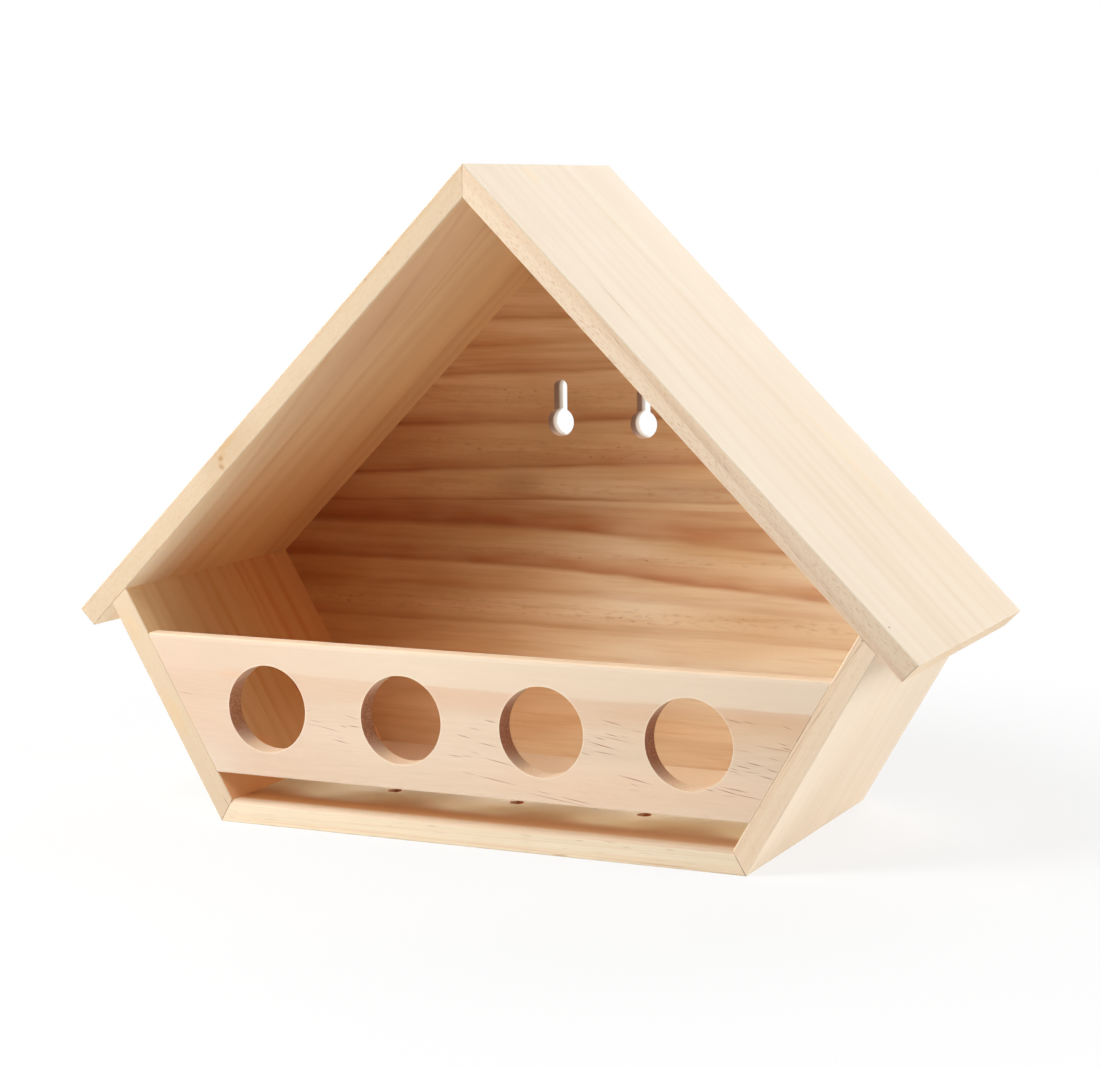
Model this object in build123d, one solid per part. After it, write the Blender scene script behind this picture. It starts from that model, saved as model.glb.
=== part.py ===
# A small nest box of pine boards: a gable roof over a shallow tray with splayed sides.
# It hangs on two keyholes in its back panel, or stands on its floor board.
# X runs to the right, Y from the open front to the back, Z up from the underside of the floor.
import os
from math import cos, radians, sin, tan

from build123d import *

# Overall form, in millimetres and degrees
overall_width = 355.0
overall_height = 260.0
depth = 135.0
floor_width = 225.0
roof_pitch = 45.0
side_splay = 30.0

# Boards
board_thickness = 9.0
back_thickness = 9.0
rail_thickness = 9.0

# Front rail and its round holes
feed_gap = 11.0
rail_height = 54.5
rail_hole_diameter = 35.0
rail_hole_pitch = 60.0
rail_hole_count = 4

# Keyholes in the back panel
keyhole_height = 153.0
keyhole_pitch = 38.0
keyhole_head = 12.0
keyhole_slot = 6.0
keyhole_length = 24.0

# Drain holes in the floor board
drain_diameter = 6.0
drain_pitch = 55.0
drain_count = 3
drain_setback = 40.5

# Softened edges: a round-over where hands and birds land, and a light easing elsewhere
roundover = 2.0
easing = 0.4

# Levels and planes that the boards share
front = -depth / 2
back = depth / 2
floor_top = board_thickness
rail_bottom = floor_top + feed_gap
rail_middle = rail_bottom + rail_height / 2
pitch = radians(roof_pitch)
splay = radians(side_splay)

# The underside of the roof, where it meets itself under the ridge
under_ridge = overall_height - board_thickness / cos(pitch)


def side_face_x(height, inset):
    """Half width of the right side board's face at a height, inset square to that face."""
    return floor_width / 2 + height * tan(splay) - inset / cos(splay)


def side_meets_roof(inset):
    """The point where a face of the right side board runs into the underside of the roof."""
    foot = side_face_x(0, inset)
    height = (under_ridge - foot * tan(pitch)) / (1 + tan(splay) * tan(pitch))
    return side_face_x(height, inset), height


def board(outline, near, far):
    """A flat board with an X-Z outline, from the plane Y = near back to Y = far."""
    plane = Plane(origin=(0, near, 0), x_dir=(1, 0, 0), z_dir=(0, -1, 0))
    return extrude(plane * make_face(Polyline(*outline, close=True)), amount=near - far)


def through_holes(sketch, places, near, far):
    """Prisms of one sketch, set out at X-Z places, that run past both faces of a board."""
    spare = far - near
    plane = Plane(origin=(0, near - spare, 0), x_dir=(1, 0, 0), z_dir=(0, -1, 0))
    holes = Sketch() + [Pos(*place) * sketch for place in places]
    return extrude(plane * holes, amount=near - far - 2 * spare)


def row(count, spacing):
    """Places along X of a centred row."""
    return [(index - (count - 1) / 2) * spacing for index in range(count)]


def mirrored(solid):
    """The left-hand copy of a right-hand board."""
    return mirror(solid, about=Plane.YZ)


def ends_of(solid):
    """Edges that lie in a board's front and back planes."""
    return solid.edges().group_by(Axis.Y)[0] + solid.edges().group_by(Axis.Y)[-1]


def make_roof_board():
    """The right roof board: mitred at the ridge, cut square at the eave."""
    eave_x = overall_width / 2
    eave_z = overall_height - eave_x * tan(pitch)
    outline = [
        (0, overall_height),
        (eave_x, eave_z),
        (eave_x - board_thickness * sin(pitch), eave_z - board_thickness * cos(pitch)),
        (0, under_ridge),
    ]
    solid = board(outline, front, back)
    exposed = ends_of(solid).filter_by(lambda edge: edge.center().X > board_thickness)
    return chamfer(exposed, easing)


def make_side_board():
    """The right side board: mitred to the floor, bevelled to lie under the roof."""
    outline = [
        (floor_width / 2, 0),
        side_meets_roof(0),
        side_meets_roof(board_thickness),
        (side_face_x(floor_top, board_thickness), floor_top),
    ]
    solid = board(outline, front, back)
    long_edges = ends_of(solid).filter_by(lambda edge: edge.length > 2 * board_thickness)
    return chamfer(long_edges, easing)


def make_floor_board():
    """The floor board: mitred to both sides, rounded over along its front, with drain holes."""
    inner = side_face_x(floor_top, board_thickness)
    outline = [(-floor_width / 2, 0), (floor_width / 2, 0), (inner, floor_top), (-inner, floor_top)]
    solid = board(outline, front, back)
    front_edges = solid.edges().group_by(Axis.Y)[0].filter_by(Axis.X).sort_by(Axis.Z)
    solid = fillet(front_edges[-1], roundover)
    lower_edges = solid.edges().filter_by(Axis.X).group_by(Axis.Z)[0]
    solid = chamfer(lower_edges, easing)
    for x in row(drain_count, drain_pitch):
        drill = Cylinder(drain_diameter / 2, 4 * board_thickness)
        solid -= Pos(x, front + drain_setback, 0) * drill
    return solid


def keyhole():
    """The outline of a keyhole about the middle of its round part, with the slot upwards."""
    slot_run = keyhole_length - keyhole_head / 2 - keyhole_slot / 2
    slot = SlotCenterToCenter(slot_run, keyhole_slot, rotation=90)
    return Circle(keyhole_head / 2) + Pos(0, slot_run / 2) * slot


def make_back_panel():
    """The back panel: a house-shaped board let in between floor, sides and roof, with keyholes."""
    foot = (side_face_x(floor_top, board_thickness), floor_top)
    shoulder = side_meets_roof(board_thickness)
    outline = [foot, shoulder, (0, under_ridge), (-shoulder[0], shoulder[1]), (-foot[0], foot[1])]
    near = back - back_thickness
    places = [(x, keyhole_height) for x in row(2, keyhole_pitch)]
    return board(outline, near, back) - through_holes(keyhole(), places, near, back)


def make_front_rail():
    """The front rail: flush with the front between the sides, rounded on top, with round holes."""
    rail_top = rail_bottom + rail_height
    low = side_face_x(rail_bottom, board_thickness)
    high = side_face_x(rail_top, board_thickness)
    outline = [(-low, rail_bottom), (low, rail_bottom), (high, rail_top), (-high, rail_top)]
    far = front + rail_thickness
    solid = board(outline, front, far)
    solid = fillet(solid.edges().filter_by(Axis.X).group_by(Axis.Z)[-1], roundover)
    solid = chamfer(solid.edges().filter_by(Axis.X).group_by(Axis.Z)[0], easing)
    places = [(x, rail_middle) for x in row(rail_hole_count, rail_hole_pitch)]
    return solid - through_holes(Circle(rail_hole_diameter / 2), places, front, far)


def make_nodes():
    """Every board of the box by name."""
    roof_board_right = make_roof_board()
    side_board_right = make_side_board()
    return {
        "roof_board_left": mirrored(roof_board_right),
        "roof_board_right": roof_board_right,
        "side_board_left": mirrored(side_board_right),
        "side_board_right": side_board_right,
        "floor_board": make_floor_board(),
        "back_panel": make_back_panel(),
        "front_rail": make_front_rail(),
    }


os.makedirs("parts", exist_ok=True)
for name, solid in make_nodes().items():
    export_step(solid, f"parts/{name}.step")
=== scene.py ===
"""Looks of a small dove nesting box of bare pine: its boards and brads, the floor, lamps and camera.

Sizes are millimetres and angles degrees unless a name says otherwise. X runs to the right, Y from the open
front to the wall behind, Z up from the underside of the floor board. Each board's figure is set out on the
board itself: "along" its grain, "across" it on the broad face, and "out" from that face.
"""
from math import cos, pi, radians, sin

import bpy
import numpy as np
from mathutils import Matrix, Quaternion, Vector


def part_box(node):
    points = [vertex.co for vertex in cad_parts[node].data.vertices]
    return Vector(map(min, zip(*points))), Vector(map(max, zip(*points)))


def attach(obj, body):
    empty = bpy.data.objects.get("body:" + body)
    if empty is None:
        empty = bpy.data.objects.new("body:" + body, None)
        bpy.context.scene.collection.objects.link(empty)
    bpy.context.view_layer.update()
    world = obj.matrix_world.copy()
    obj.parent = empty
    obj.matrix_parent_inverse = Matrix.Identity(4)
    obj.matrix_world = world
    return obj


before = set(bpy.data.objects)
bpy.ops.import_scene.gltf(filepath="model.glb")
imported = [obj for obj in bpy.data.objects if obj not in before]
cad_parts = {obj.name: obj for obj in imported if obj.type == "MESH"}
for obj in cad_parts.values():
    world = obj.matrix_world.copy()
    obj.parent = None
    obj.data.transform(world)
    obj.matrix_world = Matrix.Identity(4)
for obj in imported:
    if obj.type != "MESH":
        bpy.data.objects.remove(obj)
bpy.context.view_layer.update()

MM = 0.001

# The photograph's frame and the camera that fits it
IMAGE_WIDTH = 1100
SENSOR_WIDTH = 36
FOCAL_PIXELS = 2649.7
CAMERA_AZIMUTH = 25.203
CAMERA_ELEVATION = 7.262
CAMERA_ROLL = -0.568
CAMERA_DISTANCE = 1061.9
CAMERA_TARGET = (2.9, 0, 113.3)

# The box as the frame gives it. The floor board's top is also the thickness of every board
ROOF = [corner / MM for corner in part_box("roof_board_right")]
FRONT = ROOF[0].y
TOP = ROOF[1].z
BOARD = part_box("floor_board")[1].z / MM
HALF_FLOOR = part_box("floor_board")[1].x / MM
PANEL_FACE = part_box("back_panel")[0].y / MM
RAIL_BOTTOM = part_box("front_rail")[0].z / MM
RAIL_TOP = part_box("front_rail")[1].z / MM

# Its slopes, half of a roof board's and a side board's length down the slope, and the rail's round holes
PITCH = 45
SPLAY = 30
HALF_ROOF = 125
HALF_SIDE = 50
HOLE_SPACING = 60
HOLE_RADIUS = 17.5
HOLE_HEIGHT = (RAIL_BOTTOM + RAIL_TOP) / 2

# A face is turned towards an axis when that part of its unit normal is above this
TURNED = 0.6


def srgb(red, green, blue):
    """The linear colour of a screen colour given in steps from 0 to 255."""
    screen = np.array((red, green, blue)) / 255
    linear = ((screen + 0.055) / 1.055) ** 2.4
    return (float(linear[0]), float(linear[1]), float(linear[2]), 1)


class Nodes:
    """Adds nodes to one tree. A value is a number, a tuple or another node's output."""

    def __init__(self, tree):
        self.tree = tree

    def put(self, socket, value):
        """Links an output to a socket, or writes a plain value on it."""
        if isinstance(value, bpy.types.NodeSocket):
            self.tree.links.new(value, socket)
        else:
            socket.default_value = value

    def add(self, kind, settings, values):
        """A node of a kind with its settings, and with values on the sockets of those names or places."""
        node = self.tree.nodes.new("ShaderNode" + kind)
        for name, setting in settings.items():
            setattr(node, name, setting)
        for name, value in values.items():
            self.put(node.inputs[name], value)
        return node

    def math(self, operation, *values):
        return self.add("Math", {"operation": operation}, dict(enumerate(values))).outputs[0]

    def all_of(self, first, *others):
        """The product of several masks."""
        for other in others:
            first = self.math("MULTIPLY", first, other)
        return first

    def any_of(self, first, *others):
        """The strongest of several masks."""
        for other in others:
            first = self.math("MAXIMUM", first, other)
        return first

    def vector(self, operation, *values):
        node = self.add("VectorMath", {"operation": operation}, dict(enumerate(values)))
        scalar = operation in ("DOT_PRODUCT", "LENGTH")
        return node.outputs["Value" if scalar else "Vector"]

    def span(self, value, start, stop, low=0, high=1, kind="LINEAR"):
        """Low before start, high after stop, and straight between them."""
        values = {"Value": value, "From Min": start, "From Max": stop, "To Min": low, "To Max": high}
        return self.add("MapRange", {"interpolation_type": kind}, values).outputs["Result"]

    def smooth(self, value, start, stop, low=0, high=1):
        """Low before start, high after stop, and a smooth step between them."""
        return self.span(value, start, stop, low, high, "SMOOTHSTEP")

    def noise(self, vector, scale, seed=0, detail=2, roughness=0.5):
        """Noise from 0 to 1 about one half, after the vector is scaled axis by axis."""
        scaled = self.vector("MULTIPLY", vector, scale)
        values = {"Vector": scaled, "W": seed, "Scale": 1, "Detail": detail, "Roughness": roughness}
        return self.add("TexNoise", {"noise_dimensions": "4D"}, values).outputs["Fac"]

    def split(self, vector):
        return self.add("SeparateXYZ", {}, {"Vector": vector}).outputs

    def join(self, x, y, z):
        return self.add("CombineXYZ", {}, {"X": x, "Y": y, "Z": z}).outputs["Vector"]

    def millimetres(self, place):
        """A place in metres, in millimetres."""
        return self.add("VectorMath", {"operation": "SCALE"}, {0: place, "Scale": 1 / MM}).outputs["Vector"]

    def blend(self, share, first, second, kind="MIX"):
        """The first colour, with a share of the second mixed in or multiplied on."""
        node = self.add("Mix", {"data_type": "RGBA", "blend_type": kind}, {0: share, 6: first, 7: second})
        return node.outputs[2]

    def use(self, group, *values):
        """The outputs of a copy of a group, with values in the order of its inputs."""
        return self.add("Group", {"node_tree": group}, dict(enumerate(values))).outputs


def cleared(data):
    """Adds nodes to a material or world, which starts empty."""
    data.use_nodes = True
    data.node_tree.nodes.clear()
    return Nodes(data.node_tree)


VECTORS = ("Vector", "Facing", "Point", "Normal")


def make_group(name, takes, gives):
    """An empty group with the sockets named: its nodes, its inputs by name and its output node's sockets.

    The inputs in VECTORS are vectors, and all others are numbers.
    """
    tree = bpy.data.node_groups.new(name, "ShaderNodeTree")
    for in_out, names in (("INPUT", takes), ("OUTPUT", gives)):
        for socket in names.split(", "):
            kind = "NodeSocketVector" if socket in VECTORS else "NodeSocketFloat"
            tree.interface.new_socket(name=socket, in_out=in_out, socket_type=kind)
    taken = tree.nodes.new("NodeGroupInput").outputs
    given = tree.nodes.new("NodeGroupOutput").inputs
    return Nodes(tree), taken, given


def make_wander():
    """How far growth lines stray sideways: slow waves, shorter waves and a fine jitter."""
    nodes, taken, given = make_group("wander", "Vector, Reach, Seed", "Shift")
    slow = nodes.noise(taken["Vector"], (0.014, 0.02, 0.02), taken["Seed"], 0)
    short = nodes.noise(taken["Vector"], (0.06, 0.11, 0.11), taken["Seed"], 1)
    fine = nodes.noise(taken["Vector"], (0.35, 0.9, 0.9), taken["Seed"], 1)
    short_share, fine_share = 0.45, 0.12
    total = nodes.math("MULTIPLY_ADD", fine, fine_share, slow)
    total = nodes.math("MULTIPLY_ADD", short, short_share, total)
    centred = nodes.math("SUBTRACT", total, (1 + short_share + fine_share) / 2)
    nodes.put(given["Shift"], nodes.math("MULTIPLY", centred, taken["Reach"]))
    return nodes.tree


def make_growth_line():
    """One line of latewood: a parabola through its heights 100 mm left, in the middle and 100 mm right.

    It fades over one distance above the line and another below it, and at its start and end.
    """
    nodes, taken, given = make_group(
        "growth line", "Along, Across, Left, Middle, Right, Above, Below, Start, End, Strength", "Mask")
    step = nodes.math("DIVIDE", taken["Along"], 100)
    half_rise = nodes.math("MULTIPLY", nodes.math("SUBTRACT", taken["Right"], taken["Left"]), 0.5)
    mean = nodes.math("MULTIPLY", nodes.math("ADD", taken["Right"], taken["Left"]), 0.5)
    bend = nodes.math("SUBTRACT", mean, taken["Middle"])
    slope = nodes.math("MULTIPLY_ADD", bend, step, half_rise)
    height = nodes.math("MULTIPLY_ADD", slope, step, taken["Middle"])
    above = nodes.math("SUBTRACT", taken["Across"], height)
    below = nodes.math("MULTIPLY", above, -1)
    fade = 12
    begins = nodes.smooth(nodes.math("SUBTRACT", taken["Along"], taken["Start"]), -fade, fade)
    ends = nodes.smooth(nodes.math("SUBTRACT", taken["End"], taken["Along"]), -fade, fade)
    mask = nodes.all_of(nodes.smooth(above, 0, taken["Above"], 1, 0),
                        nodes.smooth(below, 0, taken["Below"], 1, 0))
    nodes.put(given["Mask"], nodes.all_of(mask, begins, ends, taken["Strength"]))
    return nodes.tree


def make_patch():
    """A leaning oval: 1 inside, falling smoothly to 0 at its rim. Small thin ones are strokes and scars."""
    nodes, taken, given = make_group(
        "patch",
        "Along, Across, Centre Along, Centre Across, Half Length, Half Width, Lean, Core, Strength", "Mask")
    along = nodes.math("SUBTRACT", taken["Along"], taken["Centre Along"])
    across = nodes.math("SUBTRACT", taken["Across"], taken["Centre Across"])
    across = nodes.math("SUBTRACT", across, nodes.math("MULTIPLY", along, taken["Lean"]))
    radius = nodes.vector("LENGTH", nodes.join(nodes.math("DIVIDE", along, taken["Half Length"]),
                                               nodes.math("DIVIDE", across, taken["Half Width"]), 0))
    mask = nodes.smooth(radius, taken["Core"], 1, 1, 0)
    nodes.put(given["Mask"], nodes.all_of(mask, taken["Strength"]))
    return nodes.tree


def make_grain():
    """Fine structure of pine, drawn out along the grain: clouds, soft bands, streaks and fibres."""
    nodes, taken, given = make_group("grain", "Vector, Seed", "Cloud, Band, Streak, Fibre")
    cloud = nodes.noise(taken["Vector"], (0.008, 0.03, 0.03), taken["Seed"], 2)
    band = nodes.noise(taken["Vector"], (0.0035, 0.1, 0.1), taken["Seed"], 1)
    streak = nodes.noise(taken["Vector"], (0.010, 0.45, 0.45), taken["Seed"], 2, 0.6)
    fibre = nodes.noise(taken["Vector"], (0.07, 1.6, 1.6), taken["Seed"], 3, 0.65)
    nodes.put(given["Cloud"], nodes.smooth(cloud, 0.3, 0.7))
    nodes.put(given["Band"], nodes.smooth(band, 0.35, 0.72))
    nodes.put(given["Streak"], nodes.span(streak, 0.3, 0.75))
    nodes.put(given["Fibre"], nodes.span(fibre, 0.3, 0.7))
    return nodes.tree


def make_dashes():
    """Resin canals cut lengthwise: a thin wavy dash in a share of a loose grid's cells."""
    nodes, taken, given = make_group(
        "dashes", "Along, Across, Length, Thickness, Lean, Cell Along, Cell Across, Share, Seed", "Mask")
    level = nodes.math("SUBTRACT", taken["Across"], nodes.math("MULTIPLY", taken["Along"], taken["Lean"]))
    column = nodes.math("ADD", nodes.math("DIVIDE", taken["Along"], taken["Cell Along"]), taken["Seed"])
    row = nodes.math("ADD", nodes.math("DIVIDE", level, taken["Cell Across"]), taken["Seed"])
    grid = nodes.join(column, row, 0)
    cell = nodes.add("TexVoronoi", {"voronoi_dimensions": "2D"}, {"Vector": grid, "Scale": 1.0})
    chance = nodes.split(cell.outputs["Color"])
    offset = nodes.split(nodes.vector("SUBTRACT", grid, cell.outputs["Position"]))
    along = nodes.math("MULTIPLY", offset[0], taken["Cell Along"])
    across = nodes.math("MULTIPLY", offset[1], taken["Cell Across"])
    turns_per_mm, swing, whole_turn = 1.1, 0.1, 6
    wave = nodes.math("SINE", nodes.math("MULTIPLY_ADD", along, turns_per_mm,
                                         nodes.math("MULTIPLY", chance[2], whole_turn)))
    across = nodes.math("MULTIPLY_ADD", wave, swing, across)
    half = nodes.math("MULTIPLY", taken["Length"], nodes.span(chance[1], 0, 1, 0.2, 0.6))
    reach = nodes.math("DIVIDE", nodes.math("ABSOLUTE", along), half)
    taper = nodes.math("MULTIPLY", taken["Thickness"], nodes.smooth(reach, 0.2, 1, 0.5, 0.1))
    line = nodes.smooth(nodes.math("ABSOLUTE", across), 0, nodes.math("MULTIPLY", taper, 2), 1, 0)
    line = nodes.all_of(line, nodes.smooth(reach, 0.5, 1, 1, 0))
    there = nodes.math("LESS_THAN", chance[0], taken["Share"])
    depth = nodes.span(chance[2], 0, 1, 0.45, 1)
    nodes.put(given["Mask"], nodes.all_of(line, there, depth))
    return nodes.tree


def make_end_grain():
    """Cut ends: rings about a pith far off to one side, dark at each ring's outer edge, and tiny pores."""
    nodes, taken, given = make_group("end grain", "Vector, Seed", "Ring, Pore")
    pith_across, pith_out, ring_width, unevenness = -18, -46, 3.1, 6
    parts = nodes.split(taken["Vector"])
    flat = nodes.join(0, nodes.math("SUBTRACT", parts[1], pith_across),
                      nodes.math("SUBTRACT", parts[2], pith_out))
    stray = nodes.noise(taken["Vector"], (0, 0.08, 0.08), taken["Seed"], 1)
    radius = nodes.math("MULTIPLY_ADD", stray, unevenness, nodes.vector("LENGTH", flat))
    turn = nodes.math("FRACT", nodes.math("DIVIDE", radius, ring_width))
    ring = nodes.all_of(nodes.smooth(turn, 0.35, 0.9), nodes.smooth(turn, 0.93, 1, 1, 0))
    pore = nodes.noise(taken["Vector"], (0.4, 2.6, 2.6), taken["Seed"], 2, 0.7)
    nodes.put(given["Ring"], ring)
    nodes.put(given["Pore"], nodes.smooth(pore, 0.55, 0.75))
    return nodes.tree


def make_seam():
    """A hairline where two boards meet: dark within a width of a plane, and the width varies along it."""
    nodes, taken, given = make_group("seam", "Vector, Point, Normal, Width", "Mask")
    away = nodes.vector("SUBTRACT", taken["Vector"], taken["Point"])
    away = nodes.vector("DOT_PRODUCT", away, taken["Normal"])
    rough = nodes.noise(taken["Vector"], (0.25, 0.25, 0.25), 3, 2)
    width = nodes.math("MULTIPLY", taken["Width"], nodes.span(rough, 0.35, 0.65, 0.3, 1.4))
    nodes.put(given["Mask"], nodes.smooth(nodes.math("ABSOLUTE", away), 0, width, 1, 0))
    return nodes.tree


def make_bored():
    """The wall of a bored hole: dark where it cuts across the grain, and torn in streaks."""
    nodes, taken, given = make_group("bored wall", "Vector, Facing, Seed", "Dark, Torn")
    facing = nodes.split(taken["Facing"])
    wall = nodes.smooth(nodes.math("ABSOLUTE", facing[2]), 0.3, 0.6, 1, 0)
    cut = nodes.smooth(nodes.math("ABSOLUTE", facing[0]), 0.42, 0.98)
    torn = nodes.noise(taken["Vector"], (1.4, 1.4, 0.7), taken["Seed"], 3, 0.7)
    nodes.put(given["Dark"], nodes.all_of(wall, cut))
    nodes.put(given["Torn"], nodes.all_of(wall, nodes.smooth(torn, 0.42, 0.7)))
    return nodes.tree


WANDER = make_wander()
GROWTH_LINE = make_growth_line()
PATCH = make_patch()
GRAIN = make_grain()
DASHES = make_dashes()
END_GRAIN = make_end_grain()
SEAM = make_seam()
BORED = make_bored()

# Colours of bare pine under white light
CREAM = srgb(243, 226, 202)
PALE = srgb(250, 236, 212)
LATE = srgb(206, 164, 120)
ORANGE = srgb(196, 128, 72)
RESIN = srgb(132, 92, 64)
CRACK = srgb(112, 74, 48)

# How far growth lines stray, how much of it shows on the edges, and how high the fibres stand
STRAY = 2
EDGE_STRAY = 0.4
RELIEF = 0.06

# Where the painted shade inside the box is deepest, and the reach of a growth line as long as its board
FAR_BACK = 45
WHOLE_LENGTH = (-400, 400)

# An oval fades to its rim, so a stroke's oval is longer and wider than the stroke that shows
STROKE_HALF_LENGTH = 0.95
STROKE_HALF_WIDTH = 0.7


class Board:
    """One board's material: what its figure is set out on, and how its colour builds up."""

    def __init__(self, name, origin, turn, seed):
        self.material = bpy.data.materials.new(name)
        self.nodes = nodes = cleared(self.material)
        self.seed = seed
        source = nodes.add("TexCoord", {}, {}).outputs
        turn = tuple(radians(angle) for angle in turn)

        # Where a point is: on the box, on the board, behind the box's front, above the inner face
        self.object = nodes.millimetres(source["Object"])
        place = {"Vector": self.object, "Location": origin, "Rotation": turn}
        self.place = nodes.add("Mapping", {"vector_type": "TEXTURE"}, place).outputs["Vector"]
        self.along, self.level, self.out = nodes.split(self.place)
        self.depth = nodes.split(self.object)[1]
        self.behind = nodes.math("SUBTRACT", self.depth, FRONT)
        self.rise = nodes.math("ADD", self.out, BOARD)

        # What it is on: the box's front, a sawn edge, a broad face, the outer or inner one, a hole's wall
        facing = {"Vector": source["Normal"], "Rotation": turn}
        self.turned = nodes.add("Mapping", {"vector_type": "TEXTURE"}, facing).outputs["Vector"]
        self.facing = nodes.split(self.turned)
        self.front = nodes.math("LESS_THAN", nodes.split(source["Normal"])[1], -TURNED)
        self.edge = nodes.math("GREATER_THAN", nodes.math("ABSOLUTE", self.facing[1]), TURNED)
        self.broad = nodes.math("SUBTRACT", 1, self.edge)
        self.face = nodes.math("GREATER_THAN", self.facing[2], TURNED)
        self.inner = nodes.smooth(nodes.math("MULTIPLY", self.facing[2], -1), 0.3, 0.8)
        self.wall = nodes.smooth(nodes.math("ABSOLUTE", self.facing[2]), 0.3, 0.7, 1, 0)

        # The same heights as its growth lines see them, strayed a little
        shift = nodes.use(WANDER, self.place, STRAY, seed)[0]
        self.across = nodes.math("ADD", self.level, shift)
        self.thick = nodes.math("MULTIPLY_ADD", shift, EDGE_STRAY, self.out)
        self.grain = nodes.use(GRAIN, self.place, seed)
        uneven = nodes.noise(self.place, (0.03, 0.12, 0.12), seed + 20, 1)
        self.uneven = nodes.span(uneven, 0.35, 0.65, 0.55, 1.1)

    def base(self, first, second):
        """Two tones of plain wood in clouds."""
        self.colour = self.nodes.blend(self.grain["Cloud"], first, second)

    def stain(self, mask, colour, kind="MIX"):
        self.colour = self.nodes.blend(mask, self.colour, colour, kind)

    def where(self, region, *steps):
        """A region faded by smooth steps: (distance, start, stop[, low, high]) in each."""
        return self.nodes.all_of(region, *[self.nodes.smooth(*step) for step in steps])

    def lines(self, rows, colour, level=None, region=1):
        """Growth lines: (left, middle, right, above, below, strength[, start, end]) in each row."""
        nodes = self.nodes
        level = self.across if level is None else level
        masks = []
        for left, middle, right, above, below, strength, *reach in rows:
            start, end = reach or WHOLE_LENGTH
            masks.append(nodes.use(GROWTH_LINE, self.along, level, left, middle, right, above, below,
                                   start, end, strength)[0])
        self.stain(nodes.all_of(nodes.any_of(*masks), self.uneven, region), colour)

    def patches(self, rows, colour, level=None, region=1, core=0.2):
        """Patches: (along, across, half length, half width, lean, strength) in each row."""
        nodes = self.nodes
        level = self.across if level is None else level
        masks = [nodes.use(PATCH, self.along, level, *oval, core, strength)[0] for *oval, strength in rows]
        self.stain(nodes.all_of(nodes.any_of(*masks), region), colour)

    def strokes(self, rows, colour, level=None, region=1):
        """Thin strokes: (start along, across, end along, across, width, strength) in each row."""
        ovals = []
        for start, start_height, end, end_height, width, strength in rows:
            lean = (end_height - start_height) / (end - start)
            ovals.append(((start + end) / 2, (start_height + end_height) / 2,
                          STROKE_HALF_LENGTH * abs(end - start), STROKE_HALF_WIDTH * width, lean, strength))
        self.patches(ovals, colour, self.level if level is None else level, region, 0)

    def fine_grain(self, band, streak, fibre):
        """Bands, streaks and fibres, each darker and warmer by its share."""
        nodes = self.nodes
        value = 1
        for name, share in (("Band", band), ("Streak", streak), ("Fibre", fibre)):
            value = nodes.math("MULTIPLY", nodes.span(self.grain[name], 0, 1, 1, 1 - share), value)
        tone = nodes.join(value, nodes.math("POWER", value, 1.35), nodes.math("POWER", value, 1.9))
        self.stain(1, tone, "MULTIPLY")

    def dashes(self, length, thickness, lean, cell, share, strength, region=1, level=None, colour=RESIN):
        """Scattered dashes, in a share of the cells of that size along and across the grain."""
        nodes = self.nodes
        level = self.across if level is None else level
        mask = nodes.use(DASHES, self.along, level, length, thickness, lean, *cell, share, self.seed)[0]
        self.stain(nodes.all_of(mask, region, strength), colour)

    def speckle(self, region, strength, colour=LATE):
        """Sawn edges: short pores along the grain, close together."""
        nodes = self.nodes
        pores = nodes.noise(self.place, (0.45, 1.9, 1.9), self.seed + 40, 2, 0.7)
        self.stain(nodes.all_of(self.where(region, (pores, 0.5, 0.72)), strength), colour)

    def painted_highlight(self, distance, width, strength, region, colour=PALE):
        """A painted highlight along an eased corner: a paler line along it."""
        nodes = self.nodes
        mask = nodes.smooth(nodes.math("ABSOLUTE", distance), 0, width, strength, 0)
        self.stain(nodes.all_of(mask, region), colour)

    def inside(self, near, far):
        """Painted shade on the face that looks into the box: darker and warmer from near the front to far
        back.
        """
        tone = self.nodes.blend(self.nodes.smooth(self.depth, FRONT, FAR_BACK), near, far)
        self.stain(self.inner, tone, "MULTIPLY")

    def ends(self, strength):
        """Cut ends show rings and pores, and are darker."""
        nodes = self.nodes
        mask = nodes.smooth(nodes.math("ABSOLUTE", self.facing[0]), 0.5, 0.9)
        end = nodes.use(END_GRAIN, self.place, self.seed)
        self.stain(nodes.all_of(mask, strength), srgb(244, 226, 198), "MULTIPLY")
        self.stain(nodes.all_of(mask, end["Ring"], 0.4 * strength), LATE)
        self.stain(nodes.all_of(mask, end["Pore"], 0.25 * strength), ORANGE)

    def bored(self, colour, torn_colour, strength, torn_strength):
        """Walls of holes: dark where they cut across the grain, with torn fibres."""
        nodes = self.nodes
        wall = nodes.use(BORED, self.place, self.turned, self.seed)
        self.stain(nodes.all_of(wall["Dark"], strength), colour)
        self.stain(nodes.all_of(wall["Torn"], torn_strength), torn_colour)

    def seam(self, point, normal, width, strength, region):
        """A dark hairline on the plane through a point."""
        nodes = self.nodes
        mask = nodes.use(SEAM, self.object, point, normal, width)[0]
        self.stain(nodes.all_of(mask, strength, region), CRACK)

    def finish(self):
        """The shader itself: matt bare wood, a little rougher where the fibres stand up."""
        nodes = self.nodes
        height = nodes.math("MULTIPLY", self.grain["Fibre"], 0.5)
        bump = nodes.add("Bump", {}, {"Strength": 0.6, "Distance": RELIEF * MM, "Height": height})
        rough = nodes.span(self.grain["Fibre"], 0, 1, 0.55, 0.7)
        surface = {"Base Color": self.colour, "Roughness": rough, "Specular IOR Level": 0.3,
                   "Normal": bump.outputs["Normal"]}
        shader = nodes.add("BsdfPrincipled", {}, surface)
        nodes.add("OutputMaterial", {}, {"Surface": shader.outputs["BSDF"]})


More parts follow.
